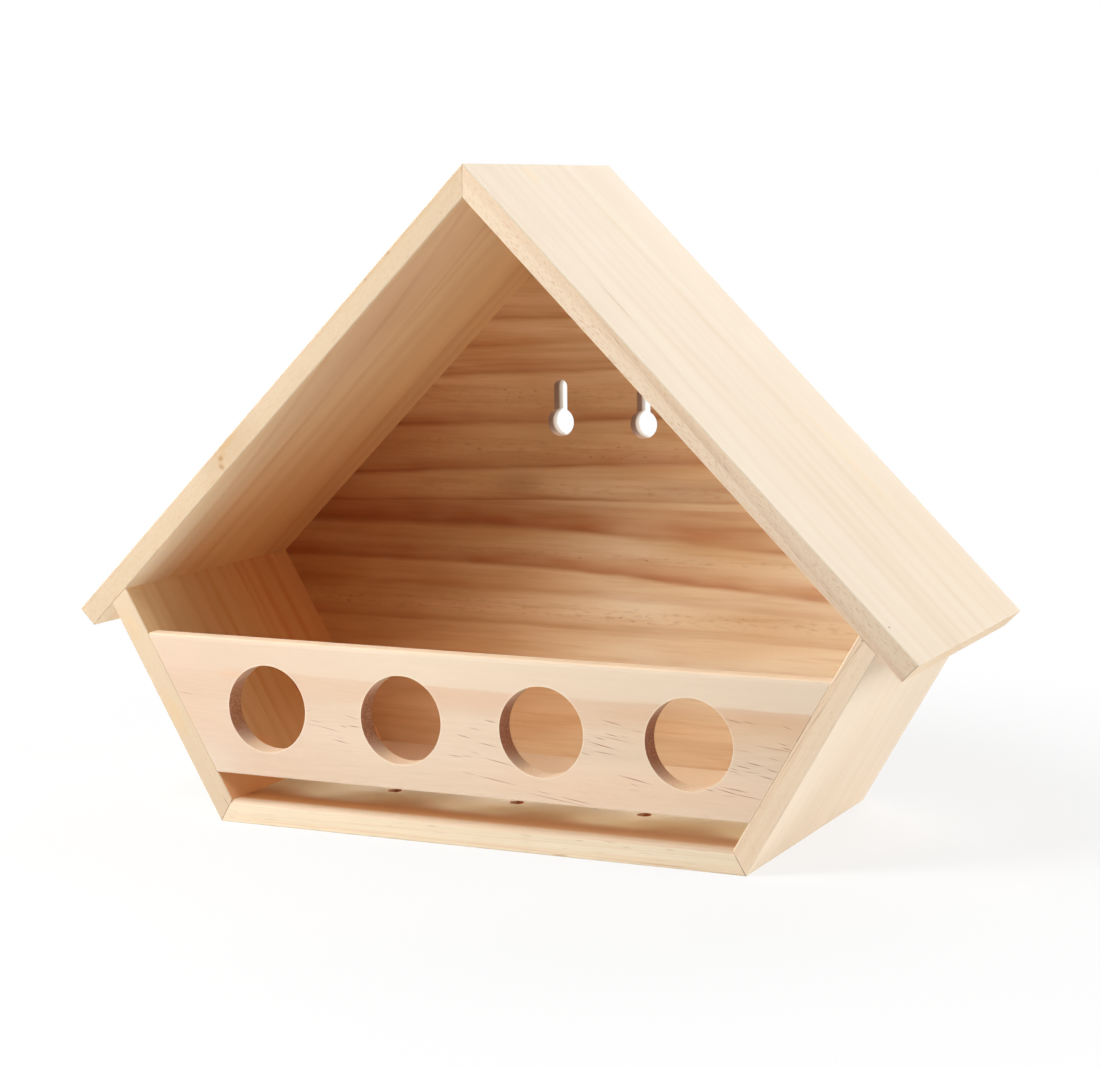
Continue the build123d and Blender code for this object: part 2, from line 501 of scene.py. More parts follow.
def roof_place(side):
    """A point on the outer face of the right (1) or left (-1) roof board, and the board's turn."""
    slope = radians(PITCH)
    return (side * HALF_ROOF * cos(slope), 0, TOP - HALF_ROOF * sin(slope)), (0, side * PITCH, 0)


def side_place(side):
    """The same for a side board."""
    lean = radians(SPLAY)
    return ((side * (HALF_FLOOR + HALF_SIDE * sin(lean)), 0, HALF_SIDE * cos(lean)),
            (0, side * (90 + SPLAY), 0))


def mitre(side):
    """The plane in which a side board meets the floor: a point and the normal."""
    lean = radians(SPLAY)
    return (side * HALF_FLOOR, 0, 0), (side * cos(lean), 0, sin(lean))


RIDGE = ((0, 0, 0), (1, 0, 0))


def roof_right(board, nodes):
    """Very pale, with faint lines. The front edge is darker and speckled, with one slanting line."""
    board.base(srgb(248, 229, 205), srgb(250, 234, 212))
    board.fine_grain(0.02, 0.03, 0.03)
    board.lines([
        (18.8, 20.6, 18.2, 6, 4, 0.3),
        (19.4, 21, 18.8, 1, 0.7, 0.12),
        (3.9, 4, 4.4, 4.6, 3.6, 0.16),
        (-8, -6.8, -7.2, 4.6, 3.8, 0.22),
        (-19, -17.6, -18.6, 5.2, 4.6, 0.2),
        (-28.5, -28, -28, 4.2, 3.4, 0.15),
        (-39, -47.5, -50.5, 4.2, 3.2, 0.2),
        (-63, -63.5, -64, 1.6, 1.2, 0.25, -125, -90),
        (34, 35, 34, 6, 5, 0.1),
        (50, 51, 50, 5, 5, 0.09),
    ], srgb(228, 196, 154), region=board.face)
    board.patches([(-52, -43.8, 15, 0.8, 0, 0.45)], ORANGE, region=board.face)
    board.patches([(-119, -17, 8, 6, 0, 0.5), (40, 36, 45, 8, 0, 0.25)],
                  srgb(250, 222, 178), region=board.face)
    edge = board.front
    board.stain(edge, srgb(222, 202, 177))
    upper = board.where(edge, (board.thick, -5.2, -3.4), (board.along, 60, 0, 0.3, 1))
    board.stain(nodes.all_of(upper, 0.5), srgb(214, 186, 156))
    board.stain(nodes.all_of(edge, board.grain["Streak"], 0.14), LATE)
    board.lines([(0.4, -3.3, -7.2, 3.2, 0.5, 0.4, -60, 150)], srgb(190, 154, 124), board.thick, edge)
    board.speckle(edge, 0.8, srgb(200, 164, 128))
    board.dashes(2.6, 0.14, -0.06, (3.6, 1.2), 0.45, 0.4, edge, board.thick, srgb(160, 124, 92))
    board.patches([(-34.5, -2, 3, 0.3, -0.1, 0.5), (-25, -1.3, 3, 0.3, -0.1, 0.5),
                   (27, -3.7, 2.5, 0.3, -0.1, 0.5), (68, -6.1, 3.5, 0.3, -0.1, 0.5),
                   (86, -6.9, 2.5, 0.3, -0.1, 0.5), (55.5, -8.4, 4, 0.25, 0, 0.4)],
                  srgb(150, 112, 82), board.out, edge)
    # Painted highlights along the front edge's eased corners
    board.painted_highlight(board.out, 0.45, 0.45, edge)
    board.painted_highlight(board.rise, 0.5, 0.4, edge, srgb(250, 230, 194))
    low = board.where(edge, (board.out, -5, -8), (board.along, -20, 90))
    board.stain(nodes.all_of(low, 0.4), srgb(212, 180, 148))
    # A painted highlight along the outer face's front corner
    board.painted_highlight(board.behind, 0.6, 0.5, board.face, srgb(252, 240, 214))
    board.ends(0.4)
    board.seam(*RIDGE, 0.3, 0.45, board.edge)


def roof_left(board, nodes):
    """Seen from inside: bands that slant towards the ridge, painted shade on the inner face and painted
    light near its front. Two scars on the front edge.
    """
    board.base(CREAM, PALE)
    board.fine_grain(0.05, 0.03, 0.035)
    board.lines([
        (-18.5, -18, -18, 4, 2.2, 0.22, -100, 130),
        (-18.5, -18, -18, 1.8, 1.1, 0.34, 25, 130),
        (-19, -19.3, -26.8, 3.6, 2.4, 0.26, 10, 130),
        (-35, -36.8, -54.5, 5, 3, 0.28),
        (-53.5, -58.5, -94, 5, 3, 0.24),
        (41, 38.6, 39, 12, 2.6, 0.32),
        (50, 50, 50, 4, 3, 0.2),
        (12, 10, 8, 6, 5, 0.12),
        (-5, -4, -3, 7, 6, 0.1),
    ], srgb(208, 158, 106), region=board.broad)
    board.stain(board.face, srgb(241, 242, 245), "MULTIPLY")
    # Painted shade on the inner face: deepest far back and down towards the eave, a little at the front by
    # the ridge, and painted light along its front lower down
    board.inside(srgb(252, 242, 226), srgb(249, 226, 196))
    painted_deep_shade = board.where(board.inner, (board.depth, -54, -26), (board.along, 40, -110))
    board.stain(painted_deep_shade, srgb(250, 227, 204), "MULTIPLY")
    ridge = board.where(board.inner, (board.depth, -10, -34), (board.along, 0, 50))
    board.stain(ridge, srgb(250, 244, 242), "MULTIPLY")
    painted_front_light = board.where(board.inner, (board.depth, -48, -62), (board.along, -20, -85))
    board.stain(nodes.all_of(painted_front_light, 0.35), srgb(255, 246, 228))
    edge = board.front
    board.stain(edge, srgb(206, 185, 156))
    upper = board.where(edge, (board.thick, -3.5, 0), (board.along, 20, 60))
    board.stain(nodes.all_of(upper, 0.4), srgb(198, 164, 120))
    board.patches([(-27, -4, 24, 9, 0, 0.45)], srgb(184, 158, 126), board.thick, edge)
    board.stain(nodes.all_of(edge, board.grain["Streak"], 0.2), LATE)
    board.speckle(edge, 0.42, srgb(190, 154, 112))
    board.patches([(-26, -1.6, 11, 2.4, 0, 0.5), (-31, -3.6, 4, 2.4, 0.3, 0.5),
                   (-42, -8, 6, 1, 0, 0.3)], srgb(196, 154, 104), board.thick, edge, 0)
    board.patches([(-32.2, -3.8, 1.8, 1.8, 0, 0.7), (-34.2, -6.4, 1.6, 2.4, 0, 0.7)],
                  srgb(170, 120, 72), board.thick, edge, 0)
    board.patches([(79, -0.9, 1.2, 0.6, 0, 0.5), (65, -0.9, 1.2, 0.6, 0, 0.45)],
                  RESIN, board.out, edge, 0)
    board.dashes(2.6, 0.14, 0.05, (3.8, 1.3), 0.4, 0.35, edge, board.thick, srgb(160, 124, 92))
    # Painted highlights along the front edge's eased corners
    board.painted_highlight(board.out, 0.4, 0.4, edge)
    board.painted_highlight(board.rise, 0.5, 0.5, edge, srgb(246, 226, 192))
    board.ends(0.5)
    board.seam(*RIDGE, 0.3, 0.45, board.edge)


def side_right(board, nodes):
    """Very pale outside. The front edge has short strokes along its inner side."""
    board.base(srgb(247, 229, 206), srgb(249, 232, 211))
    board.fine_grain(0.02, 0.03, 0.025)
    board.lines([
        (22, 21, 23, 5.5, 4, 0.16),
        (0, -1, 1, 5, 4, 0.14),
        (-9, -9.5, -8, 5, 4, 0.16),
        (44, 43, 44, 5.5, 4, 0.16),
        (-30, -31, -30, 5, 4, 0.1),
    ], srgb(228, 194, 158), region=board.broad)
    edge = board.front
    board.stain(edge, srgb(233, 210, 182))
    board.stain(board.where(edge, (board.thick, -5.8, -7, 0, 0.35)), srgb(226, 194, 158))
    board.lines([(-5.4, -6.6, -7.4, 0.6, 0.5, 0.24, -60, 10),
                 (-8, -8.1, -8.2, 0.5, 0.3, 0.24, -60, 20), (-2.6, -3, -3.4, 1.6, 1.2, 0.08)],
                LATE, board.thick, edge)
    board.strokes([(4, -7.7, -10, -7.4, 0.5, 0.4), (-11, -7.5, -22, -6.7, 0.5, 0.6),
                   (-34, -7.8, -43, -7.3, 0.5, 0.4), (-43, -7.2, -50.5, -6.5, 0.5, 0.6)],
                  srgb(160, 116, 80), board.out, edge)
    board.speckle(edge, 0.24)
    lowest = board.where(edge, (board.out, -7.6, -8.2))
    board.dashes(2.4, 0.16, 0.08, (3.4, 1), 0.5, 0.45, lowest, board.out, srgb(168, 128, 92))
    board.patches([(-50.2, -6.95, 0.8, 0.5, 0, 0.8)], RESIN, board.out, edge, 0)
    # Painted highlights along the front edge's eased corners and the outer face's front corner
    board.painted_highlight(board.rise, 0.5, 0.8, edge)
    board.painted_highlight(board.out, 0.4, 0.4, edge)
    board.painted_highlight(board.behind, 0.5, 0.4, board.face)
    board.seam(*mitre(1), 0.3, 0.85, board.front)


def side_left(board, nodes):
    """Seen from inside: soft bands across the board, with painted warm shade far back and low in the corner
    by the floor.
    """
    board.base(CREAM, srgb(244, 224, 200))
    board.fine_grain(0.04, 0.05, 0.05)
    board.lines([
        (41.8, 41.6, 41.4, 5, 2.4, 0.36),
        (29.5, 28.5, 28, 5.5, 2.4, 0.38),
        (20.6, 20.6, 20.6, 3.4, 2, 0.24),
        (14.8, 15, 15, 3.4, 2, 0.28),
        (2, 3, 2, 4, 2.4, 0.16),
        (-8, -8.5, -9, 5.5, 2.2, 0.38),
        (-16, -16, -17, 4, 2.4, 0.24),
        (-28, -28, -28, 5, 2.4, 0.22),
        (-46, -46, -46, 4.6, 2.4, 0.28),
        (-57, -57, -57, 3.6, 2, 0.2),
    ], srgb(206, 138, 86), region=board.broad)
    # Painted shade on the inner face, darker and warmer far back, and painted warm shade low in the corner
    # by the floor
    board.inside(srgb(255, 238, 210), srgb(253, 198, 147))
    low_back = board.where(board.inner, (board.along, -5, -35), (board.depth, -30, 0))
    board.stain(nodes.all_of(low_back, 0.45), srgb(255, 212, 166))
    low_front = board.where(board.inner, (board.along, -20, -30), (board.depth, -8, -34))
    board.stain(nodes.all_of(low_front, 0.8), srgb(255, 192, 138))
    edge = board.front
    board.stain(edge, srgb(211, 190, 162))
    board.stain(nodes.all_of(edge, board.grain["Streak"], 0.16), LATE)
    board.speckle(edge, 0.3)
    board.patches([(-3, -3.5, 14, 4, 0, 0.25), (36, -4, 10, 4, 0, 0.2)],
                  srgb(226, 184, 124), board.out, edge)
    board.strokes([(-46.5, -6.4, -42.5, -6.1, 0.5, 0.7)], srgb(150, 106, 72), board.out, edge)
    # Painted highlights along the front edge's eased corners
    board.painted_highlight(board.out, 0.4, 0.4, edge)
    board.painted_highlight(board.rise, 0.5, 0.4, edge)
    board.seam(*mitre(-1), 0.35, 0.75, board.front)


def floor_board(board, nodes):
    """A pale front edge with short strokes, painted shadow of the rail behind it broken by painted light
    through its holes, and the drain holes.
    """
    board.base(srgb(237, 221, 197), srgb(236, 219, 191))
    board.fine_grain(0.03, 0.05, 0.04)
    board.lines([(2.4, 2.2, 2.6, 0.8, 6, 0.16)], srgb(228, 188, 144), board.thick, board.front)
    board.lines([
        (3.6, 5, 5.9, 0.5, 0.4, 0.18), (1.4, 1.7, 0.7, 0.5, 0.4, 0.28),
        (7.2, 7.5, 8.2, 0.5, 0.4, 0.16), (2.6, 2.4, 3.4, 0.4, 0.4, 0.12),
    ], srgb(206, 156, 106), board.thick, board.front)
    board.patches([
        (37, 0.6, 5, 0.4, 0.02, 0.7), (80, 1, 22, 0.5, 0, 0.35), (-92, 4.6, 9, 0.25, 0, 0.2),
        (78, 2.7, 4, 0.25, 0.05, 0.3), (-17, 6.8, 3.5, 0.3, 0, 0.5), (23.5, 7, 3.5, 0.3, 0, 0.5),
        (45.5, 7, 3, 0.3, 0, 0.5), (58, 7.6, 4, 0.3, -0.05, 0.5), (65, 6.2, 2.5, 0.3, 0, 0.4),
        (82.5, 7, 3, 0.3, 0, 0.5),
    ], srgb(176, 122, 78), board.out, board.front, 0)
    # Painted light: the top inside the box is paler than its front strip, palest further in, and painted
    # shade at the back is darker on the left
    board.stain(board.where(board.face, (board.behind, 12, 20)), srgb(255, 244, 212))
    middle = board.where(board.face, (board.behind, 28, 42), (board.along, -85, -55))
    board.stain(middle, srgb(255, 249, 226))
    rear = nodes.blend(nodes.smooth(board.along, -90, -10), srgb(248, 214, 180), srgb(250, 230, 202))
    board.stain(board.where(board.face, (board.behind, 44, 80)), rear)
    rounded = board.where(1, (board.facing[2], 0.25, 0.6), (board.behind, 0.8, 4, 1, 0))
    board.stain(rounded, srgb(245, 233, 228), "MULTIPLY")
    # Painted shadow of the rail on the top, reaching less far back where painted light falls through its
    # holes, and stronger on the left
    nearest = nodes.math("PINGPONG", nodes.math("SUBTRACT", board.along, 20), HOLE_SPACING / 2)
    stop = nodes.smooth(nearest, 3, 22, 35, 23)
    shade = board.where(board.face, (board.behind, 1.5, 8), (board.behind, 12, stop, 1, 0))
    strength = nodes.span(board.along, -100, 100, 0.95, 0.7)
    board.stain(nodes.all_of(shade, strength), srgb(202, 138, 80))
    board.dashes(7, 0.2, 0, (18, 1.6), 0.35, 0.3, board.front, board.thick)
    # A painted highlight along the front edge's eased top corner
    board.painted_highlight(board.out, 0.4, 0.4, board.front)
    # Painted shade on the drains' walls, with the walls that face sideways painted pale as if lit
    drain = board.where(board.wall, (board.behind, 34, 36), (board.behind, 45, 47, 1, 0),
                        (nodes.math("ABSOLUTE", board.along), 80, 82, 1, 0))
    sideways = nodes.smooth(nodes.math("ABSOLUTE", board.facing[0]), 0.3, 0.75)
    board.stain(drain, nodes.blend(sideways, srgb(176, 98, 54), srgb(246, 206, 164)))
    board.seam(*mitre(1), 0.3, 0.7, board.front)
    board.seam(*mitre(-1), 0.35, 0.75, board.front)


def back_panel(board, nodes):
    """Strong growth lines right across, strongest in the middle, and flecks between some of them. Painted
    shade darkens the middle height and the left, and painted light makes the lower right paler.
    """
    board.base(srgb(247, 213, 171), srgb(243, 203, 157))
    board.fine_grain(0.05, 0.1, 0.08)
    # Painted light on the lower right, where light through the open front falls
    light = board.where(board.front, (board.along, -50, 40), (board.across, 112, 146, 0.9, 0),
                        (board.across, 22, 62, 0.15, 1))
    board.stain(light, srgb(240, 224, 194))
    board.lines([
        (194.6, 197.4, 200, 11, 2.4, 0.42),
        (181.9, 187.7, 193.5, 3, 1.8, 0.36),
        (178.5, 184, 190, 1.8, 1.4, 0.26),
        (170.5, 175.8, 181, 8.5, 2.2, 0.56),
        (150.2, 154.6, 160, 7.5, 2.4, 0.66),
        (130, 135.3, 140.5, 8, 2.2, 0.56),
        (117.4, 120.3, 122, 3.2, 1.4, 0.45),
        (116.5, 117.3, 117.4, 0.8, 8, 0.38),
        (108.6, 107, 100.2, 15, 3, 0.8),
        (92, 90, 83, 10, 2.6, 0.8),
        (97, 95, 90, 1.8, 1.6, 0.25),
        (80.5, 79.5, 76, 4, 2, 0.3),
        (65.5, 65, 64, 5.5, 1.4, 0.4),
        (48, 47, 46, 8, 2, 0.16),
        (33, 32, 31, 6, 2, 0.16),
        (20, 19, 18, 4, 2, 0.16),
    ], srgb(192, 118, 60))
    board.lines([
        (194.6, 197.4, 200, 1.4, 0.8, 0.15), (170.5, 175.8, 181, 1.6, 0.8, 0.25),
        (173.5, 178.6, 184, 1.2, 0.8, 0.2), (150.2, 154.6, 160, 1.8, 0.9, 0.3),
        (130, 135.3, 140.5, 1.6, 0.8, 0.3), (117.4, 120.3, 122, 1, 0.7, 0.25),
        (108.6, 107, 100.2, 3, 1.6, 0.18), (92, 90, 83, 2.4, 1.3, 0.22),
    ], srgb(150, 84, 40))
    # More painted light on the right, below the keyholes
    soft = board.where(board.front, (board.along, 0, 90), (board.across, 125, 150, 0.25, 0))
    board.stain(soft, srgb(236, 206, 168))
    board.patches([(45, 103, 45, 8, -0.06, 0.35), (-12, 113, 14, 5, 0, 0.25)],
                  srgb(222, 178, 128), region=board.front)
    board.patches([(24, 140, 26, 9, 0.05, 0.3)], srgb(238, 216, 188), region=board.front)
    board.patches([(44, 126, 38, 7, 0.05, 0.34), (-38, 126, 16, 6, 0.05, 0.3),
                   (80, 78, 45, 16, 0, 0.14)], srgb(176, 122, 84), region=board.front)
    # Painted warm shade low on the left
    low = board.where(board.front, (board.across, 66, 48), (board.along, 20, -15, 0, 0.32))
    low_tone = nodes.blend(nodes.smooth(board.along, -80, -30), srgb(255, 194, 138), srgb(252, 222, 184))
    board.stain(low, low_tone)
    board.patches([(-90, 13, 34, 8, 0, 0.5)], srgb(255, 226, 186), board.level, board.front)
    # Painted light: a cooler tone on the lower right
    low_right = board.where(board.front, (board.along, -10, 30), (board.across, 60, 46))
    board.stain(low_right, srgb(247, 249, 255), "MULTIPLY")
    ripple = nodes.noise(board.place, (0.02, 0.35, 0.35), 5, 2, 0.6)
    board.stain(nodes.smooth(ripple, 0.45, 0.7, 0, 0.35), srgb(228, 196, 164), "MULTIPLY")
    # Painted shade across the middle height
    middle = board.where(1, (board.across, 86, 112), (board.across, 150, 178, 1, 0))
    board.stain(middle, srgb(233, 220, 206), "MULTIPLY")
    # Painted shade, darker and warmer, on the left
    left = board.where(board.front, (board.along, -150, 10, 1, 0), (board.across, 30, 62, 0.3, 1))
    board.stain(left, srgb(238, 204, 168), "MULTIPLY")
    blotch = nodes.smooth(nodes.noise(board.place, (0.012, 0.05, 0.05), 17, 1), 0.4, 0.65)
    board.stain(nodes.all_of(blotch, 0.6), srgb(236, 212, 186), "MULTIPLY")
    zones = [board.where(1, (board.across, bottom, bottom + 2), (board.across, top - 2, top, 1, 0))
             for bottom, top in ((157, 169), (136, 146), (121, 128), (94, 99), (68, 76))]
    fleck = nodes.any_of(*zones)
    mottle = nodes.noise(board.place, (0.2, 0.8, 0.8), 12, 1)
    board.stain(board.where(fleck, (mottle, 0.5, 0.7, 0, 0.22)), srgb(176, 108, 60))
    patchy = nodes.noise(board.place, (0.04, 0.12, 0.12), 9, 1)
    patchy = board.where(fleck, (patchy, 0.46, 0.6), (board.along, 20, 70, 1, 0))
    board.dashes(2.6, 0.5, 0.02, (6.5, 2.4), 0.35, 0.6, patchy, colour=srgb(136, 82, 48))
    board.bored(srgb(150, 106, 80), srgb(200, 160, 130), 0.85, 0.2)
    # Painted light: the walls' rear part, seen in the keyholes, is painted near white as if lit from behind
    board.stain(board.where(board.wall, (board.depth, 62.6, 65)), srgb(255, 246, 232))


def front_rail(board, nodes):
    """Paler at the top with a warm line below it, and short resin strokes, most on the right. Its upward
    faces and cut ends are painted pale as if lit.
    """
    board.base(srgb(227, 204, 181), srgb(229, 208, 184))
    board.fine_grain(0.03, 0.04, 0.06)
    board.stain(nodes.smooth(board.across, 61, 62.4, 0, 0.55), srgb(228, 209, 185))
    board.lines([(62.2, 61, 61, 1, 12, 0.4, -106, 400)], srgb(214, 168, 134))
    board.patches([(-8, 57, 58, 6, 0, 0.2)], srgb(214, 168, 134))
    board.patches([(-106, 60.3, 10, 1.8, 0, 0.18), (-127, 42, 5, 3, 0.5, 0.12)],
                  srgb(240, 190, 124))
    board.patches([(70, 28, 95, 14, 0, 0.3)], srgb(240, 202, 170))
    board.patches([(-125, 22, 34, 18, 0, 0.5)], srgb(229, 220, 201))
    board.strokes([
        (-130, 51.5, -125, 50.8, 0.3, 0.5), (-72.5, 48, -70.5, 48.1, 0.25, 0.4),
        (-69.5, 44.3, -65.5, 43.8, 0.28, 0.5), (-72, 43.1, -64, 41.8, 0.25, 0.4),
        (-66, 42.2, -57.5, 40.8, 0.32, 0.6), (-59.5, 37.4, -54, 36.4, 0.36, 0.75),
        (-58, 38.7, -55.5, 37.9, 0.25, 0.4), (-54.5, 47.4, -49, 46.3, 0.32, 0.55),
        (-56.5, 43.2, -54, 42.7, 0.35, 0.7), (-52.8, 43.4, -48.8, 43.2, 0.38, 0.8),
        (-5.2, 43.6, -0.5, 42.8, 0.36, 0.8), (0, 46.7, 4, 46.1, 0.32, 0.55),
        (4, 41.2, 10.5, 40.2, 0.36, 0.7), (7, 50.1, 10.8, 49.5, 0.4, 0.8),
        (-8.8, 35.4, -4, 35.1, 0.36, 0.65), (-3.5, 35.7, 0.5, 35.4, 0.3, 0.5),
        (0.5, 37.5, 4.2, 36.7, 0.3, 0.5), (7.5, 35.2, 17, 33.6, 0.38, 0.75),
        (-3, 29.2, 2, 28.5, 0.3, 0.45), (4.5, 28.1, 17.5, 26.3, 0.36, 0.7),
        (28, 24.6, 33.5, 23.8, 0.3, 0.45), (27, 23.1, 45, 20.9, 0.34, 0.65),
        (39.5, 22.9, 49.5, 21.6, 0.36, 0.7), (56, 53.8, 62.5, 52.5, 0.36, 0.75),
        (55, 52.6, 58, 52, 0.25, 0.3), (57, 48.8, 61.3, 48.1, 0.36, 0.7),
        (61.8, 48, 65.5, 48.2, 0.28, 0.4), (55.5, 47.7, 66.5, 46.2, 0.32, 0.6),
        (52.5, 47.2, 56, 46.5, 0.36, 0.7), (51, 45, 59.8, 43.3, 0.4, 0.9),
        (51, 44, 54, 43.4, 0.25, 0.35), (52.3, 41.8, 60, 41, 0.36, 0.65),
        (46.5, 41, 49.8, 40.2, 0.34, 0.6), (67.5, 50.9, 71.5, 50.6, 0.3, 0.4),
        (63.5, 33.2, 73.5, 31.4, 0.4, 0.9), (67, 30.6, 69.8, 30, 0.34, 0.55),
        (66.5, 28.5, 70, 28.2, 0.25, 0.3), (105.2, 57.9, 110.5, 57, 0.36, 0.7),
        (111.5, 57.6, 115.5, 57, 0.34, 0.55), (104.5, 55.6, 106.5, 55.2, 0.3, 0.5),
        (127, 56.9, 130, 56, 0.34, 0.55), (125.5, 50.6, 128.5, 49.8, 0.34, 0.6),
        (118, 48.9, 129.5, 47.8, 0.34, 0.6), (126.8, 49, 129.8, 48.5, 0.4, 0.7),
        (108, 46.9, 114.5, 46.4, 0.28, 0.4), (121.5, 44.9, 125, 44.2, 0.3, 0.5),
        (113.3, 42.5, 118.5, 41.6, 0.4, 0.85), (109, 41, 114, 40.3, 0.38, 0.75),
        (120.8, 40.7, 124.8, 39.8, 0.38, 0.75), (106.5, 39.9, 109.5, 39.2, 0.34, 0.6),
        (106, 38.9, 110.5, 38, 0.32, 0.5), (111.5, 39.1, 117.5, 38.8, 0.32, 0.5),
        (118.3, 37.9, 123.2, 37, 0.4, 0.8), (104.5, 32.4, 112, 31.5, 0.4, 0.8),
        (96.5, 31.2, 99.8, 30.8, 0.38, 0.7), (102, 31.6, 109.5, 30.1, 0.38, 0.8),
        (108.5, 30.3, 118, 29.2, 0.36, 0.65), (103, 29.4, 108.5, 29.4, 0.28, 0.4),
    ], srgb(134, 50, 24))
    board.stain(nodes.smooth(board.along, -130, -10, 1, 0), srgb(246, 240, 239), "MULTIPLY")
    upper = board.where(1, (board.along, 20, 110), (board.across, 63, 57), (board.across, 38, 54))
    board.stain(upper, srgb(250, 240, 228), "MULTIPLY")
    right = board.where(board.front, (board.along, -20, 40), (board.across, 53, 57, 1, 0))
    board.dashes(8, 0.12, -0.13, (12, 2), 0.5, 0.25, right, colour=srgb(140, 96, 66))
    half = HOLE_SPACING / 2
    sideways = nodes.math("SUBTRACT", half, nodes.math("PINGPONG", board.along, half))
    hole = nodes.join(sideways, nodes.math("SUBTRACT", board.level, HOLE_HEIGHT), 0)
    rim = nodes.math("SUBTRACT", nodes.vector("LENGTH", hole), HOLE_RADIUS + 0.2)
    # Painted highlights round the holes' rims and along the bottom corner
    board.painted_highlight(rim, 0.45, 0.28, board.front)
    board.painted_highlight(nodes.math("SUBTRACT", board.level, RAIL_BOTTOM), 0.5, 0.5, board.front)
    # Painted light: faces turned up, the top and the holes' lower walls, are painted paler
    board.stain(nodes.smooth(board.facing[1], 0.55, 0.95), srgb(250, 226, 196))
    near_hole = nodes.math("LESS_THAN", rim, 1)
    # Painted light: the cut ends are painted pale, which takes the shade out of the joint with the side
    # boards
    painted_light_on_ends = nodes.smooth(nodes.math("ABSOLUTE", board.facing[0]), 0.5, 0.8)
    board.stain(painted_light_on_ends, srgb(255, 240, 220))
    right_half = nodes.smooth(board.along, -100, 40)
    bore = nodes.blend(right_half, srgb(164, 92, 50), srgb(140, 58, 14))
    torn = nodes.blend(right_half, srgb(244, 210, 176), srgb(228, 172, 126))
    board.bored(bore, torn, nodes.all_of(near_hole, 0.88), nodes.all_of(near_hole, 0.45))


# Each board's material, the place and turn of its figure, and its look
LEVEL = (0, 0, 0)
UPRIGHT = (90, 0, 0)
LOOKS = {
    "roof_board_right": ("pine_roof_right", roof_place(1), roof_right),
    "roof_board_left": ("pine_roof_left", roof_place(-1), roof_left),
    "side_board_right": ("pine_side_right", side_place(1), side_right),
    "side_board_left": ("pine_side_left", side_place(-1), side_left),
    "floor_board": ("pine_floor", ((0, 0, 0), LEVEL), floor_board),
    "back_panel": ("pine_panel", ((0, PANEL_FACE, 0), UPRIGHT), back_panel),
    "front_rail": ("pine_rail", ((0, FRONT, 0), UPRIGHT), front_rail),
}
for seed, (node_name, (material_name, place, look)) in enumerate(LOOKS.items(), 1):
    board = Board(material_name, *place, seed)
    look(board, board.nodes)
    board.finish()
    for material_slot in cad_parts[node_name].material_slots:
        material_slot.material = board.material


def new_object(name, data):
    """Puts an object in the scene."""
    thing = bpy.data.objects.new(name, data)
    bpy.context.scene.collection.objects.link(thing)
    return thing


def turned_mesh(name, profile, steps):
    """A closed surface of revolution about Z, in metres.

    Point i, j is (r_i cos t_j, r_i sin t_j, h_i). The profile gives r and h in millimetres, from the top
    pole down to the bottom pole, and t goes once round in equal steps.
    """
    radius, height = np.array(profile[1:-1]).T
    turn = np.arange(steps) * 2 * pi / steps
    rings = np.stack([radius[:, None] * np.cos(turn), radius[:, None] * np.sin(turn),
                      np.repeat(height[:, None], steps, axis=1)], axis=-1).reshape(-1, 3)
    poles = np.array([(0, 0, profile[0][1]), (0, 0, profile[-1][1])])
    points = np.concatenate([rings, poles]) * MM
    ring = np.arange(len(radius) - 1)[:, None] * steps
    here, beside = np.arange(steps), (np.arange(steps) + 1) % steps
    quads = np.stack([ring + here, ring + steps + here, ring + steps + beside, ring + beside], axis=-1)
    top, bottom, last = len(rings), len(rings) + 1, (len(radius) - 1) * steps
    caps = np.concatenate([np.stack([np.full(steps, top), here, beside], axis=-1),
                           np.stack([np.full(steps, bottom), last + beside, last + here], axis=-1)])
    mesh = bpy.data.meshes.new(name)
    mesh.from_pydata(points.tolist(), [], quads.reshape(-1, 4).tolist() + caps.tolist())
    mesh.shade_smooth()
    return mesh


def make_steel():
    """Brad heads: dull steel, spotted darker."""
    material = bpy.data.materials.new("brad_steel")
    nodes = cleared(material)
    place = nodes.millimetres(nodes.add("TexCoord", {}, {}).outputs["Object"])
    spots = nodes.noise(place, (3, 3, 3), 2, 2)
    colour = nodes.blend(nodes.smooth(spots, 0.35, 0.65), srgb(104, 94, 88), srgb(60, 50, 46))
    surface = {"Base Color": colour, "Roughness": nodes.span(spots, 0.3, 0.7, 0.4, 0.6), "Metallic": 0.7}
    shader = nodes.add("BsdfPrincipled", {}, surface)
    nodes.add("OutputMaterial", {}, {"Surface": shader.outputs["BSDF"]})
    return material


# A brad's head and the top of its shank: radius and height above the wood
BRAD_PROFILE = [(0, 0.10), (0.2, 0.09), (0.38, 0.04), (0.46, -0.05),
                (0.46, -0.35), (0.35, -0.5), (0.3, -2), (0, -2.2)]
BRAD_STEPS = 20

# Where the brads are: down the slope from the ridge, and in depth
BRAD_SLOPE = 233.6
BRAD_DEPTH = -63.4


def make_brad(name, side, material):
    """A brad driven square into the right (1) or left (-1) roof board, near its eave and front."""
    mesh = turned_mesh(name, BRAD_PROFILE, BRAD_STEPS)
    tilt = radians(PITCH)
    place = Vector((side * BRAD_SLOPE * cos(tilt), BRAD_DEPTH, TOP - BRAD_SLOPE * sin(tilt))) * MM
    mesh.transform(Matrix.Translation(place) @ Matrix.Rotation(side * tilt, 4, "Y"))
    mesh.materials.append(material)
    brad = new_object(name, mesh)
    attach(brad, "root")


steel = make_steel()
make_brad("brad_right", 1, steel)
make_brad("brad_left", -1, steel)


